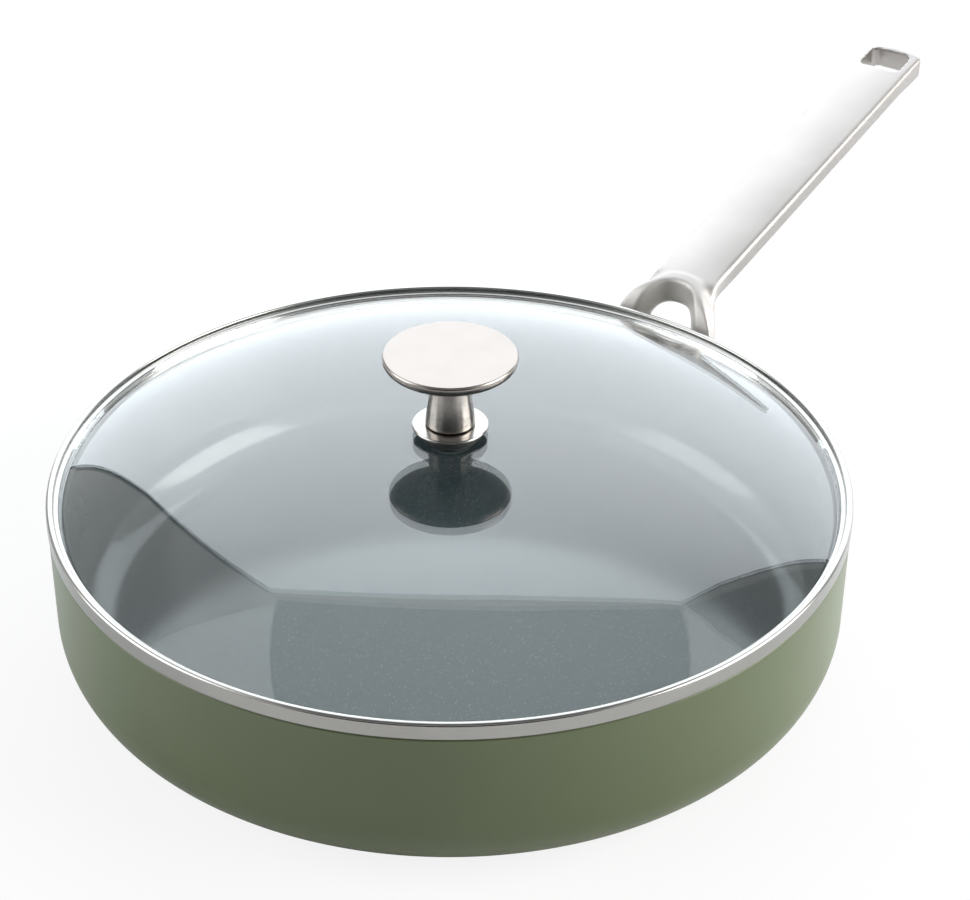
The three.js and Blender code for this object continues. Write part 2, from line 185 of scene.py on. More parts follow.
def step(finish, kind, inputs, **settings):
    """One more node in a material or tree, with its inputs set or wired."""
    tree = getattr(finish, "node_tree", None) or finish
    node = tree.nodes.new(kind)
    for key, value in settings.items():
        setattr(node, key, value)
    for key, value in inputs.items():
        if isinstance(value, bpy.types.NodeSocket):
            tree.links.new(value, node.inputs[key])
        else:
            node.inputs[key].default_value = value
    return node


def shades(finish, share, dark, pale):
    """A colour that runs from dark to pale with share."""
    ramp = step(finish, "ShaderNodeValToRGB", {"Fac": share})
    ramp.color_ramp.elements[0].position = 0.3
    ramp.color_ramp.elements[1].position = 0.7
    ramp.color_ramp.elements[0].color = (*dark, 1)
    ramp.color_ramp.elements[1].color = (*pale, 1)
    return ramp.outputs["Color"]


def between(finish, value, low, high):
    """A number that runs from low to high with value."""
    run = step(finish, "ShaderNodeMapRange", {"Value": value, "To Min": low, "To Max": high})
    return run.outputs["Result"]


def wire(finish, socket, shader, name):
    """Joins a socket to a named input of the shader."""
    finish.node_tree.links.new(socket, shader.inputs[name])


enamel, enamel_coat = new_finish("green_enamel")
where = step(enamel, "ShaderNodeTexCoord", {}).outputs["Object"]
drift = step(enamel, "ShaderNodeTexNoise", {"Vector": where, "Scale": 22.0, "Detail": 3.0})
grain = step(enamel, "ShaderNodeTexNoise", {"Vector": where, "Scale": 2600.0, "Detail": 2.0})
peel = step(enamel, "ShaderNodeTexNoise", {"Vector": where, "Scale": 420.0, "Detail": 2.0})
rise = step(enamel, "ShaderNodeMath", {0: grain.outputs["Fac"], 1: peel.outputs["Fac"]}, operation="ADD")
skin = step(enamel, "ShaderNodeBump", {"Height": rise.outputs[0], "Strength": 0.1, "Distance": 0.0001})
sage = shades(enamel, drift.outputs["Fac"], (0.098, 0.122, 0.057), (0.11, 0.136, 0.066))
wire(enamel, sage, enamel_coat, "Base Color")
wire(enamel, between(enamel, grain.outputs["Fac"], 0.24, 0.36), enamel_coat, "Roughness")
wire(enamel, skin.outputs["Normal"], enamel_coat, "Normal")

plate_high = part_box("induction_base_plate")[1]
plate_radius = plate_high.x / mm
plate_top = plate_high.z / mm
outside = cup(pan_radius, 0.4, pan_corner, pan_height - 0.7)
inside = cup(pan_radius - 2.3, 4.1, pan_corner - 2.3, pan_height - 0.2)
recess_radius = plate_radius + 0.3
recess_top = plate_top + 0.3
recess = [(0.0, recess_top, 0), (recess_radius, recess_top, 0.3), (recess_radius, 0.4, 0.5)]
recess = eased(recess + [(outside[2][0], 0.4, 0)])
rim = [(pan_radius - 0.1, pan_height - 0.35), (pan_radius - 0.35, pan_height - 0.1)]
rim += [(pan_radius - 0.8, pan_height), (pan_radius - 2.0, pan_height)]
pan_body = drilled_for_rivets(turned("pan_body_enamelled", recess + outside[3:] + rim + inside[::-1], 256))
pan_body.data.materials.append(enamel)
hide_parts("pan_body")
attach(pan_body, "pan")

# Ceramic lining: a blue-grey mineral non-stick coat, sprayed on the inside up to the rim and baked.
# It is satin and holds fine pale specks. The model shows it as a thin shell.
ceramic, ceramic_coat = new_finish("grey_ceramic")
where = step(ceramic, "ShaderNodeTexCoord", {}).outputs["Object"]
cells = step(ceramic, "ShaderNodeTexVoronoi", {"Vector": where, "Scale": 850.0})
chance = step(ceramic, "ShaderNodeSeparateColor", {"Color": cells.outputs["Color"]})
reach = step(ceramic, "ShaderNodeMath", {0: chance.outputs["Red"], 1: 0.25}, operation="MULTIPLY")
speck = step(ceramic, "ShaderNodeMath", {
    0: cells.outputs["Distance"], 1: reach.outputs[0]}, operation="LESS_THAN")
mist = step(ceramic, "ShaderNodeTexNoise", {"Vector": where, "Scale": 900.0, "Detail": 2.0})
cloud = step(ceramic, "ShaderNodeTexNoise", {"Vector": where, "Scale": 40.0, "Detail": 3.0})
ground = shades(ceramic, mist.outputs["Fac"], (0.053, 0.068, 0.075), (0.061, 0.077, 0.085))
fleck = step(ceramic, "ShaderNodeMix", {
    0: speck.outputs[0], 6: ground, 7: (0.17, 0.19, 0.2, 1)}, data_type="RGBA")
grit = step(ceramic, "ShaderNodeBump", {
    "Height": mist.outputs["Fac"], "Strength": 0.012, "Distance": 0.0001})
wire(ceramic, fleck.outputs[2], ceramic_coat, "Base Color")
wire(ceramic, between(ceramic, cloud.outputs["Fac"], 0.12, 0.17), ceramic_coat, "Roughness")
wire(ceramic, grit.outputs["Normal"], ceramic_coat, "Normal")

lining_back = cup(pan_radius - 2.6, 4.4, pan_corner - 2.6, pan_height - 0.5)
lining_face = cup(pan_radius - 3.2, 5.0, pan_corner - 3.2, pan_height - 0.5)
lining = even_shading(turned("ceramic_lining_speckled", lining_back + lining_face[::-1], 256))
lining.data.materials.append(ceramic)
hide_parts("ceramic_lining")
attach(lining, "pan")

# Induction plate: a disc of magnetic stainless steel, punched with a field of round holes and
# pressed into the hot aluminium, which fills the holes as small studs. Both are turned flat.
stud_pitch = 9.0
stud_radius = 2.1
stud_field = plate_radius - 7.0
stud_clear = 17.0


def ring_brushed(name, colour, darker, rough_low, rough_high, lines=3200.0, depth=0.05):
    """Steel or aluminium turned or brushed around the upright axis."""
    finish, metal = new_finish(name)
    spot = step(finish, "ShaderNodeTexCoord", {}).outputs["Object"]
    axes = step(finish, "ShaderNodeSeparateXYZ", {"Vector": spot})
    flat = step(finish, "ShaderNodeCombineXYZ", {"X": axes.outputs["X"], "Y": axes.outputs["Y"]})
    out = step(finish, "ShaderNodeVectorMath", {0: flat.outputs[0]}, operation="LENGTH")
    drawn = step(finish, "ShaderNodeMath", {0: axes.outputs["X"], 1: 0.01}, operation="MULTIPLY")
    track = step(finish, "ShaderNodeCombineXYZ", {
        "X": out.outputs["Value"], "Y": axes.outputs["Z"], "Z": drawn.outputs[0]})
    across = step(finish, "ShaderNodeMath", {0: axes.outputs["Y"], 1: 40.0}, operation="MULTIPLY")
    marks = step(finish, "ShaderNodeTexNoise", {
        "Vector": track.outputs[0], "W": across.outputs[0], "Scale": lines, "Detail": 3.0},
        noise_dimensions="4D")
    cloud = step(finish, "ShaderNodeTexNoise", {"Vector": spot, "Scale": 60.0, "Detail": 2.0})
    groove = step(finish, "ShaderNodeBump", {
        "Height": marks.outputs["Fac"], "Strength": depth, "Distance": 0.00005})
    metal.inputs["Metallic"].default_value = 1.0
    wire(finish, shades(finish, cloud.outputs["Fac"], darker, colour), metal, "Base Color")
    wire(finish, between(finish, marks.outputs["Fac"], rough_low, rough_high), metal, "Roughness")
    wire(finish, groove.outputs["Normal"], metal, "Normal")
    return finish


def new_tree(name, sizes):
    """A geometry tree with a geometry input and named sizes."""
    tree = bpy.data.node_groups.new(name, "GeometryNodeTree")
    tree.interface.new_socket("Geometry", in_out="INPUT", socket_type="NodeSocketGeometry")
    for size, kind in sizes.items():
        tree.interface.new_socket(size, in_out="INPUT", socket_type="NodeSocket" + kind)
    tree.interface.new_socket("Geometry", in_out="OUTPUT", socket_type="NodeSocketGeometry")
    return tree, tree.nodes.new("NodeGroupInput"), tree.nodes.new("NodeGroupOutput")


def grown(piece, tree, sizes):
    """The piece with a geometry tree run on it and made a plain mesh."""
    growth = piece.modifiers.new(tree.name, "NODES")
    growth.node_group = tree
    for socket in tree.interface.items_tree:
        if socket.in_out == "INPUT" and socket.name in sizes:
            growth[socket.identifier] = sizes[socket.name]
    frozen(piece)
    piece.data.shade_smooth()
    piece.data.set_sharp_from_angle(angle=math.radians(40))
    return piece


def stud_tree(name, punched):
    """Studs on a honeycomb of points, or the same field punched out of the given plate."""
    sizes = {"Pitch": "Float", "Stud Radius": "Float", "Stud Length": "Float", "Stud Middle": "Float"}
    sizes |= {"Field Radius": "Float", "Clear Middle": "Float", "Rows": "Int", "Finish": "Material"}
    tree, given, out = new_tree(name, sizes)
    size = given.outputs
    span = step(tree, "ShaderNodeMath", {0: size["Rows"], 1: -1.0}, operation="ADD").outputs[0]
    wide = step(tree, "ShaderNodeMath", {0: span, 1: size["Pitch"]}, operation="MULTIPLY").outputs[0]
    row_rise = math.sqrt(0.75)
    long = step(tree, "ShaderNodeMath", {0: wide, 1: row_rise}, operation="MULTIPLY").outputs[0]
    field = step(tree, "GeometryNodeMeshGrid", {
        "Size X": wide, "Size Y": long, "Vertices X": size["Rows"], "Vertices Y": size["Rows"]})
    spot = step(tree, "GeometryNodeInputPosition", {}).outputs[0]
    row = step(tree, "ShaderNodeSeparateXYZ", {"Vector": spot}).outputs["Y"]
    deep = step(tree, "ShaderNodeMath", {0: size["Pitch"], 1: row_rise}, operation="MULTIPLY").outputs[0]
    number = step(tree, "ShaderNodeMath", {0: row, 1: deep}, operation="DIVIDE").outputs[0]
    whole = step(tree, "ShaderNodeMath", {0: number}, operation="ROUND").outputs[0]
    odd = step(tree, "ShaderNodeMath", {0: whole, 1: 2.0}, operation="FLOORED_MODULO").outputs[0]
    half = step(tree, "ShaderNodeMath", {0: odd, 1: 0.5}, operation="MULTIPLY").outputs[0]
    slide = step(tree, "ShaderNodeMath", {0: half, 1: size["Pitch"]}, operation="MULTIPLY").outputs[0]
    shift = step(tree, "ShaderNodeCombineXYZ", {"X": slide, "Z": size["Stud Middle"]}).outputs[0]
    comb = step(tree, "GeometryNodeSetPosition", {
        "Geometry": field.outputs["Mesh"], "Offset": shift}).outputs[0]
    far = step(tree, "ShaderNodeVectorMath", {0: spot}, operation="LENGTH").outputs["Value"]
    over = step(tree, "ShaderNodeMath", {
        0: far, 1: size["Field Radius"]}, operation="GREATER_THAN").outputs[0]
    under = step(tree, "ShaderNodeMath", {
        0: far, 1: size["Clear Middle"]}, operation="LESS_THAN").outputs[0]
    off = step(tree, "ShaderNodeMath", {0: over, 1: under}, operation="MAXIMUM").outputs[0]
    kept = step(tree, "GeometryNodeDeleteGeometry", {
        "Geometry": comb, "Selection": off}, domain="POINT").outputs[0]
    stud = step(tree, "GeometryNodeMeshCylinder", {
        "Vertices": 20, "Radius": size["Stud Radius"], "Depth": size["Stud Length"]}).outputs["Mesh"]
    studs = step(tree, "GeometryNodeInstanceOnPoints", {"Points": kept, "Instance": stud}).outputs[0]
    solid = step(tree, "GeometryNodeRealizeInstances", {"Geometry": studs}).outputs[0]
    if punched:
        solid = step(tree, "GeometryNodeMeshBoolean", {
            "Mesh 1": size["Geometry"], "Mesh 2": solid},
            operation="DIFFERENCE", solver="EXACT").outputs["Mesh"]
    coat = step(tree, "GeometryNodeSetMaterial", {"Geometry": solid, "Material": size["Finish"]}).outputs[0]
    tree.links.new(coat, out.inputs[0])
    return tree


plate_steel = ring_brushed(
    "base_steel", (0.56, 0.555, 0.54), (0.47, 0.465, 0.455), 0.26, 0.46, 1500.0, 0.16)
stud_metal = ring_brushed(
    "stud_aluminium", (0.72, 0.73, 0.74), (0.64, 0.65, 0.66), 0.3, 0.5, 1500.0, 0.12)
plate_view = eased([(0, 0, 0), (plate_radius, 0, 0.3), (plate_radius, plate_top, 0.15), (0, plate_top, 0)])
plate = turned("induction_plate_punched", plate_view, 160)
stud_sizes = {"Pitch": stud_pitch * mm, "Stud Radius": stud_radius * mm, "Field Radius": stud_field * mm}
stud_sizes |= {"Clear Middle": stud_clear * mm, "Rows": 31}
hole_sizes = stud_sizes | {"Stud Length": 0.004, "Stud Middle": 0.0005, "Finish": plate_steel}
grown(plate, stud_tree("punched_field", True), hole_sizes)
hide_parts("induction_base_plate")
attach(plate, "pan")
studs = laid_down("base_studs", bmesh.new())
stud_body = stud_sizes | {"Stud Radius": (stud_radius - 0.06) * mm}
stud_body |= {"Stud Length": 0.0015, "Stud Middle": 0.0009}
grown(studs, stud_tree("stud_field", False), stud_body | {"Finish": stud_metal})
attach(studs, "pan")

# Handle: one stainless steel casting, satin finished along its length. A crowned grip with a hanging
# hole forks into two legs, which bend down clear of the lid and end in round feet on the wall.
# It is drawn here as the metal inside a side view and a plan, with every edge rounded.
tip_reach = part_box("handle")[1].x / mm
tip_top = 115.1
grip_rise = math.radians(12)
grip_half = 13.4
grip_drop = 10.73
tip_corner = 3.0
foot_radius = 9.0
foot_face = 148.8
hole_from_tip = 10.6
hole_half_long, hole_half_wide, hole_corner = 6.9, 9.2, 3.2


def curve(points, count):
    """Points of a curve with three or four handles."""
    points = np.array(points, float)
    rows = []
    for share in np.linspace(0, 1, count + 1):
        row = points
        while len(row) > 1:
            row = row[:-1] * (1 - share) + row[1:] * share
        rows.append(tuple(row[0]))
    return rows


def top_at(x):
    """Height of the straight top of the grip."""
    return tip_top - (tip_reach - x) * math.tan(grip_rise)


# Side view of the top and the underside, closed far away from the metal
top_view = [(420.0, top_at(420.0)), (163.5, top_at(163.5))]
top_view += curve([(163.5, top_at(163.5)), (155.0, top_at(155.0)), (149.2, 75.0), (146.5, 64.0)], 28)[1:]
top_view += curve([(146.5, 64.0), (145.3, 59.0), (141.2, 57.5), (141.2, 53.0)], 12)[1:]
top_view += [(141.2, -60.0), (420.0, -60.0)]
under_view = [(420.0, top_at(420.0) - grip_drop), (185.0, top_at(185.0) - grip_drop)]
leg_bend = [under_view[1], (163.0, top_at(163.0) - grip_drop), (154.6, 68.6), (152.8, 59.0)]
under_view += curve(leg_bend, 20)[1:]
under_view += curve([(152.8, 59.0), (151.3, 51.0), (149.2, 42.0)], 10)[1:]
under_view += [(149.2, -60.0), (60.0, -60.0), (60.0, 260.0), (420.0, 260.0)]

# Plan of one side, from the middle of the tip to the wall of the pan, and of the arch between the legs
side_plan = [(tip_reach - 0.5 * (y / grip_half) ** 2, y) for y in np.linspace(0, grip_half - tip_corner, 8)]
for turn in np.linspace(0, math.pi / 2, 8)[1:]:
    side_plan.append((tip_reach - 0.3 - tip_corner * (1 - math.cos(turn)),
                      grip_half - tip_corner * (1 - math.sin(turn))))
side_plan += curve([(170.0, grip_half), (163.0, grip_half), (161.0, 14.2), (156.0, 17.7)], 12)
side_plan += curve([(156.0, 17.7), (150.5, 21.6), (149.5, 22.4), (146.5, 22.6)], 10)[1:]
side_plan += [(141.0, 25.5), (120.0, 28.0)]
arch_plan = curve([(158.1, 0.0), (158.1, 6.9), (154.5, 8.0), (146.5, 13.8)], 24)
arch_plan += [(141.0, 17.0), (120.0, 19.0)]


def both_sides(half):
    """A closed plan from its one half."""
    return half + [(x, -y) for x, y in half[::-1] if y > 0]


def distance(outline, u, v):
    """Distance of points from a closed outline, negative inside it."""
    nearest = np.full(np.broadcast(u, v).shape, np.inf)
    inside = np.zeros(nearest.shape, bool)
    for (x0, y0), (x1, y1) in zip(outline, outline[1:] + outline[:1]):
        ex, ey = x1 - x0, y1 - y0
        if ex == 0 and ey == 0:
            continue
        share = np.clip(((u - x0) * ex + (v - y0) * ey) / (ex * ex + ey * ey), 0, 1)
        nearest = np.minimum(nearest, np.hypot(u - x0 - share * ex, v - y0 - share * ey))
        if ey != 0:
            inside ^= ((y0 > v) != (y1 > v)) & (u < x0 + (v - y0) / ey * ex)
    return np.where(inside, -nearest, nearest)


def rise_between(value, low, high):
    """A soft step from 0 to 1."""
    part = np.clip((value - low) / (high - low), 0, 1)
    return part * part * (3 - 2 * part)


def inside_both(a, b, ease):
    """The part that two forms share, with its new edge rounded."""
    return np.minimum(np.maximum(a, b), -ease) + np.hypot(np.maximum(a + ease, 0), np.maximum(b + ease, 0))


def handle_metal(x, y, z):
    """Distance from the skin of the handle, negative in the metal."""
    across = np.abs(y)
    top = distance(top_view, x, z)
    under = distance(under_view, x, z)
    side = distance(both_sides(side_plan), x, y)
    arch = distance(both_sides(arch_plan), x, y)
    on_grip = rise_between(x, 150.0, 164.0)
    near_tip = rise_between(x, 318.0, 332.0)
    crown = np.where(across < 10.8, 0.9 * (across / 10.8) ** 2, 0.9 + 0.167 * (across - 10.8))
    face = top + math.cos(grip_rise) * crown * on_grip
    # Shoulder of each leg, which runs out into the grip
    lean = 0.95 * (1 - rise_between(x, 156.0, 164.0))
    shoulder = 5.6 * (1 - np.exp(-np.maximum(x - 146, 0) / 2.4))
    face = inside_both(face, (face + lean * (side + shoulder)) / np.sqrt(1 + lean * lean), 0.9)
    metal = inside_both(face, side, 0.8 + 1.2 * on_grip - 0.4 * near_tip)
    metal = inside_both(metal, under, 1.6 + 2.2 * on_grip - 1.4 * near_tip)
    # The arch narrows a little from its top to its underside, as a casting has to
    taper = 0.09 * np.clip(-top, 0, 10)
    metal = inside_both(metal, -arch - taper, 1.2 + 1.3 * rise_between(-top, 3.0, 7.0))
    along = (tip_reach - x) * math.cos(grip_rise) + (tip_top - z) * math.sin(grip_rise) - hole_from_tip
    gap_long = np.abs(along) - (hole_half_long - hole_corner)
    gap_wide = across - (hole_half_wide - hole_corner)
    hole = np.hypot(np.maximum(gap_long, 0), np.maximum(gap_wide, 0))
    hole = hole + np.minimum(np.maximum(gap_long, gap_wide), 0)
    metal = inside_both(metal, hole_corner - hole, 0.6)
    # Round foot on the wall, with the strap of the leg blended into it
    off_axis = across * math.cos(rivet_spread) - x * math.sin(rivet_spread)
    from_axis = np.hypot(off_axis, z - rivet_height)
    strap = np.maximum(metal, rivet_height - z)
    metal = -inside_both(-strap, foot_radius - from_axis, 2.5)
    out = np.hypot(x, y)
    metal = inside_both(metal, out - foot_face - (np.maximum(z - 46, 0) / 4) ** 2.5, 0.9)
    wall = pan_radius - (pan_height - z) * math.tan(wall_draft) + 0.15
    metal = inside_both(metal, wall - out, 0.4)
    return np.maximum(metal, rivet_hole - from_axis - 50 * (z > 55))


def skin(field, axes):
    """A mesh of four-sided faces on the zero of a field given on a grid."""
    solid = field < 0
    total = np.zeros((field.size, 3))
    number = np.zeros(field.size)
    faces = []
    for axis in range(3):
        ahead = np.roll(solid, -1, axis)
        spots = np.stack(np.nonzero(solid != ahead), 1)
        here = field[tuple(spots.T)]
        there = np.roll(field, -1, axis)[tuple(spots.T)]
        points = spots.astype(float)
        points[:, axis] += here / (here - there)
        corners = []
        for back_one, back_two in ((0, 0), (1, 0), (1, 1), (0, 1)):
            cell = spots.copy()
            cell[:, (axis + 1) % 3] -= back_one
            cell[:, (axis + 2) % 3] -= back_two
            flat = np.ravel_multi_index(tuple(cell.T), field.shape)
            np.add.at(total, flat, points)
            np.add.at(number, flat, 1)
            corners.append(flat)
        corners = np.stack(corners, 1)
        outward = solid[tuple(spots.T)]
        corners[~outward] = corners[~outward][:, ::-1]
        faces.append(corners)
    used = np.nonzero(number)[0]
    label = np.zeros(field.size, int)
    label[used] = np.arange(len(used))
    grid = total[used] / number[used][:, None]
    points = np.stack([np.interp(grid[:, a], np.arange(len(axes[a])), axes[a]) for a in range(3)], 1)
    return points, label[np.concatenate(faces)]


def handle_skin(cell=0.65):
    """Points and faces on the skin of the handle, each point drawn onto it."""
    axes = [np.arange(138, 341, cell), np.arange(-34, 34.5, cell), np.arange(30, 119, cell)]
    x, y, z = np.meshgrid(*axes, indexing="ij", sparse=True)
    points, faces = skin(handle_metal(x, y, z), axes)
    for _ in range(4):
        x, y, z = points.T
        gap = handle_metal(x, y, z)
        h = 0.02
        slope = np.stack([
            handle_metal(x + h, y, z) - handle_metal(x - h, y, z),
            handle_metal(x, y + h, z) - handle_metal(x, y - h, z),
            handle_metal(x, y, z + h) - handle_metal(x, y, z - h)], 1) / (2 * h)
        size = np.maximum(np.sum(slope * slope, 1), 0.2)
        points = points - np.clip(gap / size, -0.5, 0.5)[:, None] * slope
    return points, faces


def long_brushed(name, colour, darker, rough_low, rough_high, tilt, blast_and_painted_light):
    """Steel with a fine satin grain along the handle, and matt where it is blasted near the pan. There its
    colour is also painted lighter, a painted highlight on the fork of the legs.
    """
    finish, metal = new_finish(name)
    spot = step(finish, "ShaderNodeTexCoord", {}).outputs["Object"]
    laid = step(finish, "ShaderNodeMapping", {
        "Vector": spot, "Rotation": (0, tilt, 0), "Scale": (45, 2600, 2600)})
    marks = step(finish, "ShaderNodeTexNoise", {"Vector": laid.outputs[0], "Scale": 1.0, "Detail": 3.0})
    cloud = step(finish, "ShaderNodeTexNoise", {"Vector": spot, "Scale": 50.0, "Detail": 2.0})
    groove = step(finish, "ShaderNodeBump", {
        "Height": marks.outputs["Fac"], "Strength": 0.05, "Distance": 0.00005})
    metal.inputs["Metallic"].default_value = 1.0
    reach = step(finish, "ShaderNodeSeparateXYZ", {"Vector": spot}).outputs["X"]
    # One mask near the pan gives both the matt roughness of the blasting and the painted lighter colour.
    matt = step(finish, "ShaderNodeMapRange", {
        "Value": reach, "From Min": 0.154, "From Max": 0.178, "To Min": blast_and_painted_light, "To Max": 0.0})
    matt = matt.outputs["Result"]
    tone = shades(finish, cloud.outputs["Fac"], darker, colour)
    # Painted highlight: near the pan the steel colour is mixed towards a pale grey, so the fork of the legs
    # is painted lighter.
    pale = step(finish, "ShaderNodeMix", {0: matt, 6: tone, 7: (0.62, 0.6, 0.58, 1)}, data_type="RGBA")
    wire(finish, pale.outputs[2], metal, "Base Color")
    satin = between(finish, marks.outputs["Fac"], rough_low, rough_high)
    dull = step(finish, "ShaderNodeMath", {0: matt, 1: 0.35, 2: satin}, operation="MULTIPLY_ADD").outputs[0]
    wire(finish, dull, metal, "Roughness")
    wire(finish, groove.outputs["Normal"], metal, "Normal")
    return finish


handle_steel = long_brushed(
    "handle_steel", (0.4, 0.378, 0.36), (0.376, 0.355, 0.338), 0.33, 0.45, grip_rise, 0.6)
spots, faces = handle_skin()
casting = bmesh.new()
corners = [casting.verts.new(spot) for spot in spots * mm]
for face in faces:
    casting.faces.new([corners[i] for i in face])
handle = laid_down("handle_cast", casting)
handle.data.materials.append(handle_steel)
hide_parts("handle")
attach(handle, "pan")

# Handle rivets: solid steel rivets, one through each foot and the wall. The inner end is set flush in
# the wall and sprayed over with the lining, so none shows inside. The outer head is set on the foot.
rivet_view = [(0.0, 140.45), (2.7, 140.45), (3.0, 140.75), (3.0, 148.9), (4.4, 148.9), (4.6, 149.1)]
rivet_view += [(4.5, 149.5), (4.0, 149.95), (2.8, 150.25), (1.4, 150.37), (0.0, 150.4)]
rivets = turned("handle_rivets", rivet_view, 48)
rivets.data.transform(Matrix.Rotation(math.pi / 2, 4, "Y"))

tree, given, out = new_tree("rivet_pair", {
    "Height": "Float", "Spread": "Float", "Count": "Int", "Finish": "Material"})
size = given.outputs
spots = step(tree, "GeometryNodeMeshLine", {"Count": size["Count"]}, mode="OFFSET")
number = step(tree, "GeometryNodeInputIndex", {}).outputs[0]
turned_by = step(tree, "ShaderNodeMath", {0: number, 1: 2.0, 2: -1.0}, operation="MULTIPLY_ADD").outputs[0]
swing = step(tree, "ShaderNodeMath", {0: turned_by, 1: size["Spread"]}, operation="MULTIPLY").outputs[0]
height = step(tree, "ShaderNodeCombineXYZ", {"Z": size["Height"]}).outputs[0]
placed = step(tree, "GeometryNodeSetPosition", {
    "Geometry": spots.outputs[0], "Position": height}).outputs[0]
facing = step(tree, "ShaderNodeCombineXYZ", {"Z": swing}).outputs[0]
pair = step(tree, "GeometryNodeInstanceOnPoints", {
    "Points": placed, "Instance": size["Geometry"], "Rotation": facing}).outputs[0]
solid = step(tree, "GeometryNodeRealizeInstances", {"Geometry": pair}).outputs[0]
coat = step(tree, "GeometryNodeSetMaterial", {"Geometry": solid, "Material": size["Finish"]}).outputs[0]
tree.links.new(coat, out.inputs[0])

rivet_steel = long_brushed(
    "rivet_steel", (0.33, 0.316, 0.3), (0.305, 0.292, 0.278), 0.3, 0.42, 0.0, 0.0)
grown(rivets, tree, {
    "Height": rivet_height * mm, "Spread": rivet_spread, "Count": 2, "Finish": rivet_steel})
even_shading(rivets)
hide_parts("handle_rivet_left", "handle_rivet_right")
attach(rivets, "pan")

# Lid glass: a disc of 4 mm toughened glass, sagged over a mould into a wide dome that falls more
# steeply towards its edge, with a hole in the middle for the knob screw. It has a faint green cast.
glass_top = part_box("lid_glass")[1].z
glass_edge = 0.1395
glass_foot = 0.136
crown_radius = 0.74
foot_drop = 0.00747

sizes = {"Hole Radius": "Float", "Edge Radius": "Float", "Foot Radius": "Float", "Top Height": "Float"}
sizes |= {"Crown Radius": "Float", "Foot Drop": "Float"}
sizes |= {"Thickness": "Float", "Rings": "Int", "Around": "Int", "Finish": "Material"}
tree, given, out = new_tree("sagged_dome", sizes)
size = given.outputs
sheet = step(tree, "GeometryNodeMeshGrid", {
    "Size X": 1.0, "Size Y": 1.0, "Vertices X": size["Rings"], "Vertices Y": size["Around"]})
spot = step(tree, "GeometryNodeInputPosition", {}).outputs[0]
flat = step(tree, "ShaderNodeSeparateXYZ", {"Vector": spot}).outputs
outward = step(tree, "ShaderNodeMapRange", {
    "Value": flat["X"], "From Min": -0.5, "From Max": 0.5, "To Min": 0.0, "To Max": 1.0}).outputs["Result"]
crowded = step(tree, "ShaderNodeMath", {0: outward, 1: 0.6}, operation="POWER").outputs[0]
radius = step(tree, "ShaderNodeMapRange", {
    "Value": crowded, "To Min": size["Hole Radius"], "To Max": size["Edge Radius"]}).outputs["Result"]
turn = step(tree, "ShaderNodeMath", {0: flat["Y"], 1: 2 * math.pi}, operation="MULTIPLY").outputs[0]
cosine = step(tree, "ShaderNodeMath", {0: turn}, operation="COSINE").outputs[0]
sine = step(tree, "ShaderNodeMath", {0: turn}, operation="SINE").outputs[0]
east = step(tree, "ShaderNodeMath", {0: radius, 1: cosine}, operation="MULTIPLY").outputs[0]
north = step(tree, "ShaderNodeMath", {0: radius, 1: sine}, operation="MULTIPLY").outputs[0]
square = step(tree, "ShaderNodeMath", {0: radius, 1: radius}, operation="MULTIPLY").outputs[0]
twice = step(tree, "ShaderNodeMath", {0: size["Crown Radius"], 1: 2.0}, operation="MULTIPLY").outputs[0]
fall = step(tree, "ShaderNodeMath", {0: square, 1: twice}, operation="DIVIDE").outputs[0]
share = step(tree, "ShaderNodeMath", {0: radius, 1: size["Foot Radius"]}, operation="DIVIDE").outputs[0]
steep = step(tree, "ShaderNodeMath", {0: share, 1: 6.0}, operation="POWER").outputs[0]
drop = step(tree, "ShaderNodeMath", {0: steep, 1: size["Foot Drop"]}, operation="MULTIPLY").outputs[0]
crest = step(tree, "ShaderNodeMath", {0: size["Top Height"], 1: fall}, operation="SUBTRACT").outputs[0]
dome = step(tree, "ShaderNodeMath", {0: crest, 1: drop}, operation="SUBTRACT").outputs[0]
place = step(tree, "ShaderNodeCombineXYZ", {"X": east, "Y": north, "Z": dome}).outputs[0]
shaped = step(tree, "GeometryNodeSetPosition", {
    "Geometry": sheet.outputs["Mesh"], "Position": place}).outputs[0]
joined = step(tree, "GeometryNodeMergeByDistance", {"Geometry": shaped, "Distance": 1e-6}).outputs[0]
inward = step(tree, "ShaderNodeMath", {0: size["Thickness"], 1: -1.0}, operation="MULTIPLY").outputs[0]
under = step(tree, "GeometryNodeExtrudeMesh", {
    "Mesh": joined, "Offset Scale": inward, "Individual": False}, mode="FACES").outputs["Mesh"]
both = step(tree, "GeometryNodeJoinGeometry", {})
tree.links.new(under, both.inputs[0])
tree.links.new(joined, both.inputs[0])
closed = step(tree, "GeometryNodeMergeByDistance", {
    "Geometry": both.outputs[0], "Distance": 1e-6}).outputs[0]
coat = step(tree, "GeometryNodeSetMaterial", {"Geometry": closed, "Material": size["Finish"]}).outputs[0]
tree.links.new(coat, out.inputs[0])

clear, clear_glass = new_finish("lid_glass")
clear_glass.inputs["Transmission Weight"].default_value = 1.0
clear_glass.inputs["IOR"].default_value = 1.52
where = step(clear, "ShaderNodeTexCoord", {}).outputs["Object"]
sag = step(clear, "ShaderNodeTexNoise", {"Vector": where, "Scale": 9.0, "Detail": 1.0})
haze = step(clear, "ShaderNodeTexNoise", {"Vector": where, "Scale": 35.0, "Detail": 4.0})
wave = step(clear, "ShaderNodeBump", {"Height": sag.outputs["Fac"], "Strength": 0.02, "Distance": 0.004})
tint = shades(clear, haze.outputs["Fac"], (0.93, 0.965, 0.955), (0.945, 0.975, 0.965))
wire(clear, tint, clear_glass, "Base Color")
wire(clear, between(clear, haze.outputs["Fac"], 0.0, 0.012), clear_glass, "Roughness")
wire(clear, wave.outputs["Normal"], clear_glass, "Normal")
path = step(clear, "ShaderNodeLightPath", {}).outputs
lit_through = step(clear, "ShaderNodeMath", {
    0: path["Is Shadow Ray"], 1: path["Is Diffuse Ray"]}, operation="MAXIMUM").outputs[0]
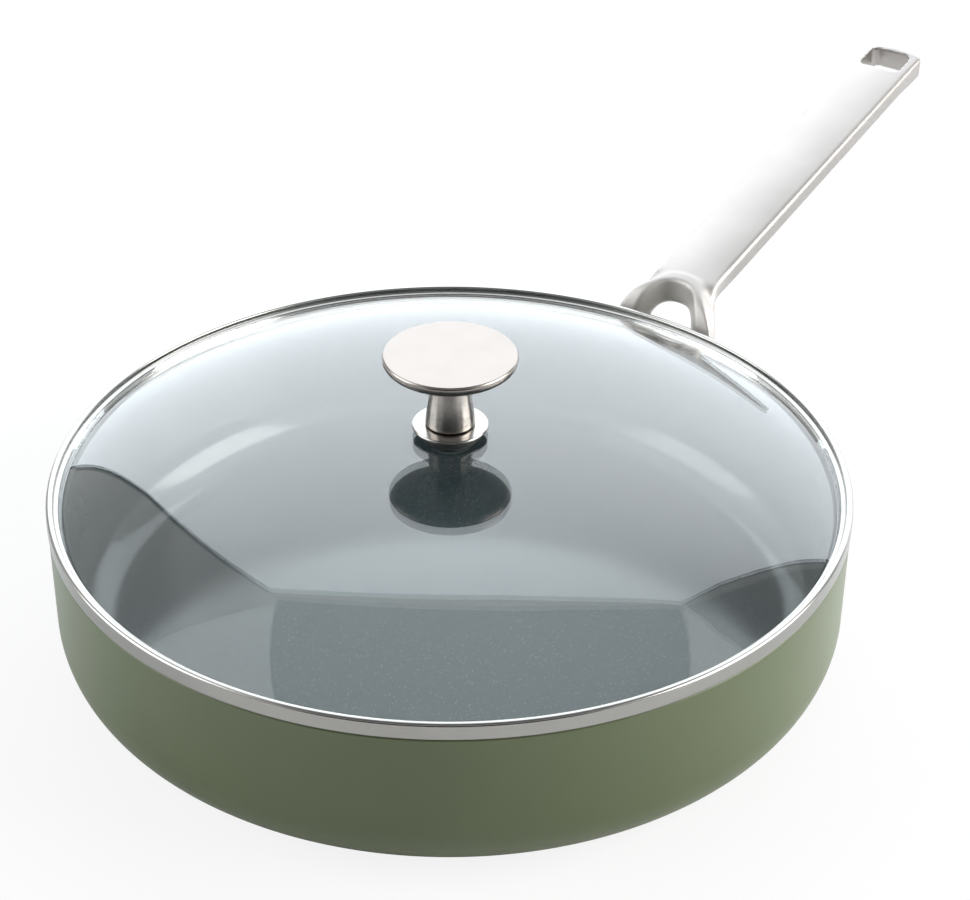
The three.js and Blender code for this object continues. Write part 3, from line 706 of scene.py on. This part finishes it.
open_air = step(clear, "ShaderNodeBsdfTransparent", {"Color": (0.86, 0.9, 0.89, 1)}).outputs[0]
pane = step(clear, "ShaderNodeMixShader", {
    0: lit_through, 1: clear_glass.outputs[0], 2: open_air}).outputs[0]
clear.node_tree.links.new(pane, clear.node_tree.nodes["Material Output"].inputs["Surface"])

glass = laid_down("lid_glass_dome", bmesh.new())
glass_sizes = {"Hole Radius": 0.0055, "Edge Radius": glass_edge, "Foot Radius": glass_foot}
glass_sizes |= {"Top Height": glass_top, "Crown Radius": crown_radius, "Foot Drop": foot_drop}
grown(glass, tree, glass_sizes | {"Thickness": 0.004, "Rings": 76, "Around": 257, "Finish": clear})
shell = bmesh.new()
shell.from_mesh(glass.data)
bmesh.ops.recalc_face_normals(shell, faces=shell.faces)
shell.to_mesh(glass.data)
shell.free()
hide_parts("lid_glass")
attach(glass, "lid")

# Lid rim band: a strip of stainless sheet, welded into a ring and rolled around the edge of the glass.
# Its top edge is a soft bead, and a short skirt below keeps the lid in the middle of the pan.
band_low, band_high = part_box("lid_rim_band")
band_radius = band_high.x / mm
band_top = band_high.z / mm
band_foot = pan_height + 0.3
skirt_foot = band_low.z / mm
band_corners = [
    (138.6, skirt_foot, 0.25), (139.3, skirt_foot, 0.25), (139.3, band_foot, 0.2),
    (band_radius, band_foot, 0.45), (band_radius, band_top, 1.05), (141.15, band_top, 0.7),
    (140.8, 65.55, 0.25), (139.3, 65.15, 0.1),
    (139.4, 64.92, 0.06), (141.45, 65.1, 0.2), (141.7, band_top - 0.75, 0.25),
    (band_radius - 0.7, band_top - 0.75, 0.4),
    (band_radius - 0.7, band_foot + 0.7, 0.3), (138.6, band_foot + 0.7, 0.3),
]
band_steel = ring_brushed(
    "band_steel", (0.378, 0.37, 0.352), (0.355, 0.347, 0.33), 0.15, 0.24, 3600.0, 0.04)
band = even_shading(turned("lid_band_rolled", eased(band_corners, 6, closed=True), 256))
band.data.materials.append(band_steel)
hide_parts("lid_rim_band")
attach(band, "lid")

# Knob gasket: a black silicone washer with a sleeve, moulded in one piece. It keeps the steel knob and
# its screw off the glass, and is held between them by the screw.
gasket_low, gasket_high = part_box("knob_gasket")
gasket_radius = gasket_high.x / mm
gasket_top = gasket_high.z / mm
screw_bore = 2.3
gasket_corners = [
    (screw_bore, gasket_low.z / mm, 0.1), (5.2, gasket_low.z / mm, 0.3), (5.2, gasket_top - 1.4, 0.1),
    (gasket_radius, gasket_top - 1.45, 0.4), (gasket_radius, gasket_top, 0.4), (screw_bore, gasket_top, 0.1),
]
silicone, silicone_skin = new_finish("dark_silicone")
where = step(silicone, "ShaderNodeTexCoord", {}).outputs["Object"]
dust = step(silicone, "ShaderNodeTexNoise", {"Vector": where, "Scale": 1400.0, "Detail": 3.0})
matt = step(silicone, "ShaderNodeBump", {
    "Height": dust.outputs["Fac"], "Strength": 0.15, "Distance": 0.0001})
soot = shades(silicone, dust.outputs["Fac"], (0.016, 0.017, 0.018), (0.03, 0.031, 0.032))
wire(silicone, soot, silicone_skin, "Base Color")
wire(silicone, between(silicone, dust.outputs["Fac"], 0.55, 0.72), silicone_skin, "Roughness")
wire(silicone, matt.outputs["Normal"], silicone_skin, "Normal")
gasket = even_shading(turned("knob_gasket_moulded", eased(gasket_corners, 4, closed=True), 96))
gasket.data.materials.append(silicone)
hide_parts("knob_gasket")
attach(gasket, "lid")

# Knob flange: a thin turned steel washer with a polished top. It lies under the stem and spreads the
# load of the screw on the gasket.
flange_low, flange_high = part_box("knob_base_flange")
flange_radius = flange_high.x / mm
flange_foot, flange_top = flange_low.z / mm, flange_high.z / mm
flange_corners = [
    (screw_bore, flange_foot, 0.1), (flange_radius, flange_foot, 0.35),
    (flange_radius, flange_top, 0.5), (screw_bore, flange_top, 0.1),
]
flange_steel = ring_brushed(
    "flange_steel", (0.42, 0.405, 0.385), (0.385, 0.37, 0.35), 0.14, 0.24, 3000.0, 0.03)
flange = even_shading(turned("knob_flange_turned", eased(flange_corners, 6, closed=True), 128))
flange.data.materials.append(flange_steel)
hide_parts("knob_base_flange")
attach(flange, "lid")

# Knob stem: a turned steel sleeve that swells from the disc down to the flange, satin all round. The
# spigot of the disc stands in its upper end, and the screw clamps it from below.
stem_low, stem_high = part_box("knob_stem")
stem_foot, stem_top = stem_low.z / mm, stem_high.z / mm
stem_view = [(screw_bore, stem_foot), (8.3, stem_foot), (8.62, stem_foot + 0.1), (8.82, stem_foot + 0.32)]
for i in range(25):
    part = i / 24
    swell = 8.9 - 3.9 * part + 2.0 * part * (1 - part)
    stem_view.append((swell, stem_foot + 0.6 + part * (stem_top - stem_foot - 0.6)))
stem_view += [(4.0, stem_top), (4.0, stem_top - 9.0), (screw_bore, stem_top - 9.0)]
stem_steel = ring_brushed(
    "stem_steel", (0.355, 0.332, 0.31), (0.332, 0.31, 0.29), 0.17, 0.27, 3600.0, 0.12)
stem = even_shading(turned("knob_stem_turned", stem_view, 128))
stem.data.materials.append(stem_steel)
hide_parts("knob_stem")
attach(stem, "lid")

# Knob disc: a turned steel button with a flat top, a soft edge and an undercut side for the fingers.
# A spigot below it stands in the stem and takes the screw from under the lid.
disc_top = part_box("knob_disc")[1].z / mm
disc_foot = stem_top + 0.3
disc_corners = [(0, disc_foot + 1.7, 0), (screw_bore, disc_foot + 1.7, 0.1)]
disc_corners += [(screw_bore, disc_foot - 8.8, 0.1)]
disc_corners += [(3.7, disc_foot - 8.8, 0.4), (3.7, disc_foot, 0.3)]
disc_view = eased(disc_corners + [(17.0, disc_foot + 0.4, 0)], 4)
side_edge = [(17.0, disc_foot + 0.4), (21.6, disc_foot + 0.75), (23.6, disc_foot + 2.0)]
side_edge += [(23.85, disc_foot + 3.9)]
disc_view += curve(side_edge, 18)[1:]
top_edge = [(23.85, disc_foot + 3.9), (23.88, disc_foot + 4.7), (23.75, disc_top - 0.2), (23.2, disc_top)]
disc_view += curve(top_edge, 10)[1:]
disc_view += [(22.8, disc_top), (12.0, disc_top), (0.0, disc_top)]
knob_steel = ring_brushed(
    "knob_steel", (0.309, 0.282, 0.262), (0.292, 0.266, 0.247), 0.17, 0.27, 3600.0, 0.12)
disc = even_shading(turned("knob_disc_turned", disc_view, 192))
disc.data.materials.append(knob_steel)
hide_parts("knob_disc")
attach(disc, "lid")

# Washers under the glass: a soft black silicone one against the glass, and a punched steel one below
# it that the head of the screw bears on.
seal_low, seal_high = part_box("knob_seal_washer")
washer_low, washer_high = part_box("knob_steel_washer")
fixing_steel = ring_brushed("fixing_steel", (0.6, 0.6, 0.58), (0.5, 0.5, 0.485), 0.22, 0.4, 1800.0, 0.08)
for name, node, low, high, ease, finish, slot in [
    ("seal_washer", "knob_seal_washer", seal_low, seal_high, 0.4, silicone, "dark_silicone"),
    ("steel_washer", "knob_steel_washer", washer_low, washer_high, 0.25, fixing_steel, "fixing_steel"),
]:
    rim_radius = high.x / mm
    corners = [(screw_bore, low.z / mm, 0.15), (rim_radius, low.z / mm, ease)]
    corners += [(rim_radius, high.z / mm, ease), (screw_bore, high.z / mm, 0.15)]
    washer = even_shading(turned(name, eased(corners, 5, closed=True), 96))
    washer.data.materials.append(finish)
    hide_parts(node)
    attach(washer, "lid")

# Knob screw: a plated steel pan-head screw with a slot and a rolled thread. It is driven up through the
# washers, glass, gasket, flange and stem into the spigot of the disc.
screw_low, screw_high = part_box("knob_screw")
head_foot = screw_low.z / mm
head_top = head_foot + 2.6
screw_view = [(0, head_foot), (1.8, head_foot + 0.08), (2.8, head_foot + 0.35), (3.5, head_foot + 0.85)]
screw_view += [(3.9, head_foot + 1.5), (4.0, head_foot + 2.2), (3.95, head_top), (2.0, head_top)]
thread_pitch = 0.7
thread_from = head_top + 14.0
screw_view += [(2.0, thread_from)]
thread_top = screw_high.z / mm - 1.0
turns_up = int((thread_top - thread_from) / thread_pitch)
for i in range(turns_up):
    turn_foot = thread_from + thread_pitch * i
    screw_view += [(2.0, turn_foot + 0.15), (1.7, turn_foot + 0.5)]
screw_view += [(2.0, thread_top), (1.4, screw_high.z / mm - 0.1), (0, screw_high.z / mm)]
screw = turned("knob_screw_slotted", screw_view, 64)
blade = bmesh.new()
slot_place = Matrix.Translation((0, 0, (head_foot + 0.4) * mm))
slot_size = Matrix.Diagonal((0.012, 0.001, 0.0018, 1))
bmesh.ops.create_cube(blade, size=1.0, matrix=slot_place @ slot_size)
cutter = laid_down("slot_cutter", blade)
cut = screw.modifiers.new("slot", "BOOLEAN")
cut.operation = "DIFFERENCE"
cut.solver = "EXACT"
cut.object = cutter
frozen(screw)
bpy.data.objects.remove(cutter)
screw.data.shade_smooth()
screw.data.set_sharp_from_angle(angle=math.radians(30))
screw.data.materials.append(fixing_steel)
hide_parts("knob_screw")
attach(screw, "lid")

# Camera: a long lens at the photograph's own viewpoint, found from the outlines of rim, base, knob
# and handle. Yaw is measured from the handle's direction and pitch is downward.
yaw, pitch, roll = math.radians(34.588), math.radians(32.187), math.radians(0.461)
lens = bpy.data.cameras.new("camera")
lens.sensor_width = 36
lens.lens = 95.854
camera = bpy.data.objects.new("camera", lens)
aim = Matrix.Rotation(yaw - math.pi / 2, 4, "Z") @ Matrix.Rotation(math.pi / 2 - pitch, 4, "X")
aim = aim @ Matrix.Rotation(roll, 4, "Z")
camera.matrix_world = Matrix.Translation((-0.63328, -0.45169, 0.56792)) @ aim
bpy.context.scene.collection.objects.link(camera)
bpy.context.scene.camera = camera

# Studio: a white floor and surround, a large leaning softbox behind the pan whose edges show in the lid,
# a dim one overhead with a bounce card on each side, and a lamp at the left and at the right. A grey
# wing and black cards above and in front only show in glass and steel, and give them contrast.
bpy.context.scene.view_settings.view_transform = "Standard"
back = Vector((math.cos(yaw), math.sin(yaw), 0))
right = Vector((math.sin(yaw), -math.cos(yaw), 0))
upward = Vector((0, 0, 1))


def card(name, corners, finish):
    """A flat studio card with corners given as (right, back, up) in metres."""
    mesh = bpy.data.meshes.new(name)
    places = [right * a + back * b + upward * c for a, b, c in corners]
    mesh.from_pydata(places, [], [tuple(range(len(corners)))])
    mesh.materials.append(finish)
    sheet = bpy.data.objects.new(name, mesh)
    bpy.context.scene.collection.objects.link(sheet)
    return sheet


floor_white, floor_paint = new_finish("floor_white")
floor_paint.inputs["Base Color"].default_value = (0.9, 0.9, 0.9, 1)
floor_paint.inputs["Roughness"].default_value = 0.9
floor_paint.inputs["Specular IOR Level"].default_value = 0.1
rays = step(floor_white, "ShaderNodeLightPath", {}).outputs
seen = step(floor_white, "ShaderNodeMath", {
    0: rays["Is Camera Ray"], 1: rays["Is Transmission Ray"]}, operation="MAXIMUM").outputs[0]
glow = step(floor_white, "ShaderNodeEmission", {"Color": (1, 1, 1, 1), "Strength": 1.0}).outputs[0]
most = step(floor_white, "ShaderNodeMath", {0: seen, 1: 0.86}, operation="MULTIPLY").outputs[0]
top_coat = step(floor_white, "ShaderNodeMixShader", {
    0: most, 1: floor_paint.outputs[0], 2: glow}).outputs[0]
floor_white.node_tree.links.new(top_coat, floor_white.node_tree.nodes["Material Output"].inputs["Surface"])
card("floor", [(-6, -6, -0.0003), (6, -6, -0.0003), (6, 6, -0.0003), (-6, 6, -0.0003)], floor_white)

world = bpy.data.worlds.new("studio")
bpy.context.scene.world = world
world.use_nodes = True
world.node_tree.nodes.clear()
rays = step(world, "ShaderNodeLightPath", {}).outputs
mirrored = step(world, "ShaderNodeMath", {
    0: rays["Is Glossy Ray"], 1: 0.65}, operation="MULTIPLY").outputs[0]
near = step(world, "ShaderNodeMath", {
    0: rays["Is Camera Ray"], 1: mirrored}, operation="MAXIMUM").outputs[0]
seen = step(world, "ShaderNodeMath", {
    0: near, 1: rays["Is Transmission Ray"]}, operation="MAXIMUM").outputs[0]
bright = step(world, "ShaderNodeBackground", {"Color": (1, 1, 1, 1), "Strength": 1.0}).outputs[0]
fill = step(world, "ShaderNodeBackground", {"Color": (0.97, 0.985, 1, 1), "Strength": 0.2}).outputs[0]
around = step(world, "ShaderNodeMixShader", {0: seen, 1: fill, 2: bright}).outputs[0]
step(world, "ShaderNodeOutputWorld", {"Surface": around})


def lit_cloth(name, colour, low, middle, high):
    """The glowing front of a softbox, with its strength at the foot, half way up and at the top."""
    cloth, plain = new_finish(name)
    cloth.node_tree.nodes.remove(plain)
    spot = step(cloth, "ShaderNodeTexCoord", {}).outputs["Object"]
    rise = step(cloth, "ShaderNodeSeparateXYZ", {"Vector": spot}).outputs["Z"]
    lower = step(cloth, "ShaderNodeMapRange", {
        "Value": rise, "From Max": 0.8, "To Min": low, "To Max": middle}).outputs["Result"]
    upper = step(cloth, "ShaderNodeMapRange", {
        "Value": rise, "From Min": 1.1, "From Max": 1.9, "To Min": 0.0, "To Max": middle - high})
    upper = upper.outputs["Result"]
    power = step(cloth, "ShaderNodeMath", {0: lower, 1: upper}, operation="SUBTRACT").outputs[0]
    lamp = step(cloth, "ShaderNodeEmission", {"Color": (*colour, 1), "Strength": power}).outputs[0]
    cloth.node_tree.links.new(lamp, cloth.node_tree.nodes["Material Output"].inputs["Surface"])
    return cloth


black, black_cloth = new_finish("black_card")
black_cloth.inputs["Base Color"].default_value = (0.03, 0.03, 0.03, 1)
black_cloth.inputs["Roughness"].default_value = 1.0
lean = 0.233
panel = [(-1.2, 0.02), (2.4, 0.02), (1.6, 1.1), (1.06, 1.79), (0.97, 2.06), (0.14, 1.915)]
panel += [(-0.64, 1.895), (-0.83, 1.05)]
behind = card("softbox_behind", [(a, 1.65 - lean * (c - 0.02), c) for a, c in panel],
              lit_cloth("cloth_behind", (0.9, 0.95, 1), 2.4, 3.35, 2.45))
edge = [(-1.23, 0.02), (2.43, 0.02), (1.625, 1.11), (1.09, 1.8), (0.99, 2.065), (0.14, 1.92)]
edge += [(-0.665, 1.9), (-0.858, 1.05)]
dark_edge = card("softbox_edge", [(a, 1.66 - lean * (c - 0.02), c) for a, c in edge], black)
above = card("softbox_above", [(-0.65, 1.2, 2.0), (0.98, 1.13, 2.08), (1.62, -0.5, 2.0), (-1.0, -0.5, 2.0)],
             lit_cloth("cloth_above", (0.9, 0.98, 1), 0.38, 0.38, 0.38))
bounce = lit_cloth("ceiling_bounce", (0.96, 0.985, 1), 1.25, 1.25, 1.25)
left_plan = [(-0.67, 1.1), (-1.15, 0.85), (-2.4, 0.4), (-2.4, -0.8), (-1.05, -0.8)]
left_bounce = card("bounce_left", [(a, b, 2.01) for a, b in left_plan], bounce)
right_plan = [(0.96, 1.1), (1.74, -0.8), (2.6, -0.8), (2.6, 0.3), (1.98, 0.5), (1.36, 0.77)]
right_bounce = card("bounce_right", [(a, b, 2.01) for a, b in right_plan], bounce)
wing_corners = [(0.96, 1.1, 2.02), (2.46, 1.67, 0.02), (3.4, 0.75, 0.02), (1.98, 0.5, 2.02)]
wing_corners += [(1.36, 0.77, 2.02)]
wing = card("wing_right", wing_corners, lit_cloth("grey_wing", (0.97, 1, 1), 0.58, 0.58, 0.58))
above_plan = [(-1.5, -0.5), (1.5, -0.5), (1.5, -1.4), (-1.5, -1.4)]
dark_above = card("card_above", [(a, b, 1.9) for a, b in above_plan], black)
front_view = [(-0.55, 0), (0.55, 0), (0.55, 0.55), (-0.55, 0.55)]
dark_front = card("card_front", [(a, -0.75, c) for a, c in front_view], black)
mirrored_only = [dark_above, dark_front, dark_edge, wing, left_bounce, right_bounce]
for sheet in mirrored_only:
    sheet.visible_diffuse = False
    sheet.visible_shadow = False
for sheet in mirrored_only + [behind, above]:
    sheet.visible_camera = False


def softlight(name, spot, size, watts, colour):
    """A square lamp that looks at the pan."""
    light = bpy.data.lights.new(name, "AREA")
    light.shape = "SQUARE"
    light.size = size
    light.energy = watts
    light.color = colour
    lamp = bpy.data.objects.new(name, light)
    lamp.location = right * spot[0] + back * spot[1] + upward * spot[2]
    lamp.rotation_mode = "QUATERNION"
    lamp.rotation_quaternion = (Vector((0, 0, 0.05)) - lamp.location).to_track_quat("-Z", "Y")
    lamp.visible_camera = False
    bpy.context.scene.collection.objects.link(lamp)
    return lamp


softlight("lamp_right", (1.5, -0.2, 0.72), 1.2, 32, (1, 0.99, 0.97))
softlight("lamp_left", (-1.5, -0.1, 0.72), 1.2, 17, (0.97, 0.985, 1))
